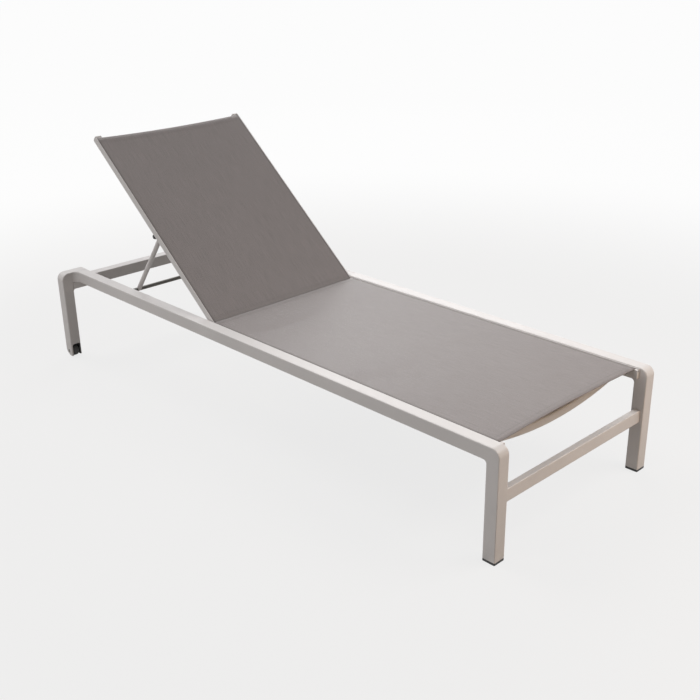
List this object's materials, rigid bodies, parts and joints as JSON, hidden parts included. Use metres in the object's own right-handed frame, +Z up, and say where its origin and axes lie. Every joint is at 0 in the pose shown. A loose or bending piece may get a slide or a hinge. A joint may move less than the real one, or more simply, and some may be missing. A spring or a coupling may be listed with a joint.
{
  "type": "sun lounger",
  "caption": "Low sun lounger in square tube with a stretched sling seat, a sling backrest that reclines on a folding stay and toothed racks, and two small wheels set into the head legs.",
  "frame": {"origin": "on the floor under the middle of the lounger's own box", "axes": "+X towards the foot end, +Y towards the left side of someone lying on it, +Z up"},
  "size_m": [2, 0.82, 0.8326],
  "materials": {
    "frame_coat": "satin powder coat in a warm light grey over aluminium tube",
    "sling_fabric": "coated open-weave sling mesh, matt taupe grey, slightly see-through",
    "keder_rod": "dark extruded plastic cord",
    "black_plastic": "moulded black nylon",
    "wheel_hub": "moulded dark grey nylon",
    "wheel_rubber": "matt black rubber",
    "stainless": "plain stainless steel",
    "stay_steel": "steel with a dark grey coat"
  },
  "bodies": {
    "frame": {"left_rail": "frame_coat", "right_rail": "frame_coat", "left_foot_leg": "frame_coat", "right_foot_leg": "frame_coat", "left_head_leg": "frame_coat", "right_head_leg": "frame_coat", "head_crossbar": "frame_coat", "foot_stretcher": "frame_coat", "left_foot_glide": "black_plastic", "right_foot_glide": "black_plastic", "crossbar_pads": "wheel_rubber", "left_seat_track": "frame_coat", "right_seat_track": "frame_coat", "track_screws": "stainless", "hinge_spreader": "frame_coat", "middle_spreader": "frame_coat", "foot_spreader": "frame_coat", "seat_sling": "sling_fabric", "seat_keder_rods": "keder_rod", "left_hinge_bracket": "frame_coat", "right_hinge_bracket": "frame_coat", "bracket_screws": "stainless", "left_hinge_bolt": "stainless", "right_hinge_bolt": "stainless", "hinge_washers": "black_plastic", "left_rack": "frame_coat", "right_rack": "frame_coat", "left_wheel_housing": "black_plastic", "right_wheel_housing": "black_plastic", "left_axle": "stay_steel", "right_axle": "stay_steel"},
    "backrest": {"left_stile": "frame_coat", "right_stile": "frame_coat", "left_stile_cap": "frame_coat", "right_stile_cap": "frame_coat", "lower_back_spreader": "frame_coat", "upper_back_spreader": "frame_coat", "back_sling": "sling_fabric", "back_keder_rods": "keder_rod", "left_hinge_bush": "black_plastic", "right_hinge_bush": "black_plastic", "left_stay_bracket": "frame_coat", "right_stay_bracket": "frame_coat", "stay_rivets": "stainless", "left_stay_pin": "stainless", "right_stay_pin": "stainless", "stay_washers": "black_plastic", "left_knob": "black_plastic", "right_knob": "black_plastic"},
    "stay": {"left_stay_leg": "frame_coat", "right_stay_leg": "frame_coat", "stay_bar": "stay_steel", "bar_end_caps": "black_plastic"},
    "left_wheel": {"left_tyre": "wheel_rubber", "left_hub": "wheel_hub"},
    "right_wheel": {"right_tyre": "wheel_rubber", "right_hub": "wheel_hub"}
  },
  "joints": [
    {"name": "backrest_recline", "type": "hinge", "parent": "frame", "child": "backrest", "pos_m": [-0.193, 0, 0.312], "axis": [0, 1, 0], "range_deg": [-40, 10]},
    {"name": "stay_fold", "type": "hinge", "parent": "backrest", "child": "stay", "pos_m": [-0.49542, 0, 0.53965], "axis": [0, -1, 0], "range_deg": [-93, 23.5]},
    {"name": "left_wheel_spin", "type": "hinge", "parent": "frame", "child": "left_wheel", "pos_m": [-0.979, 0.39, 0.021], "axis": [0, 1, 0], "continuous": true},
    {"name": "right_wheel_spin", "type": "hinge", "parent": "frame", "child": "right_wheel", "pos_m": [-0.979, -0.39, 0.021], "axis": [0, 1, 0], "continuous": true}
  ],
  "couplings": [
    {"joint": "stay_fold", "follows": "backrest_recline", "ratio": 2.3205}
  ]
}
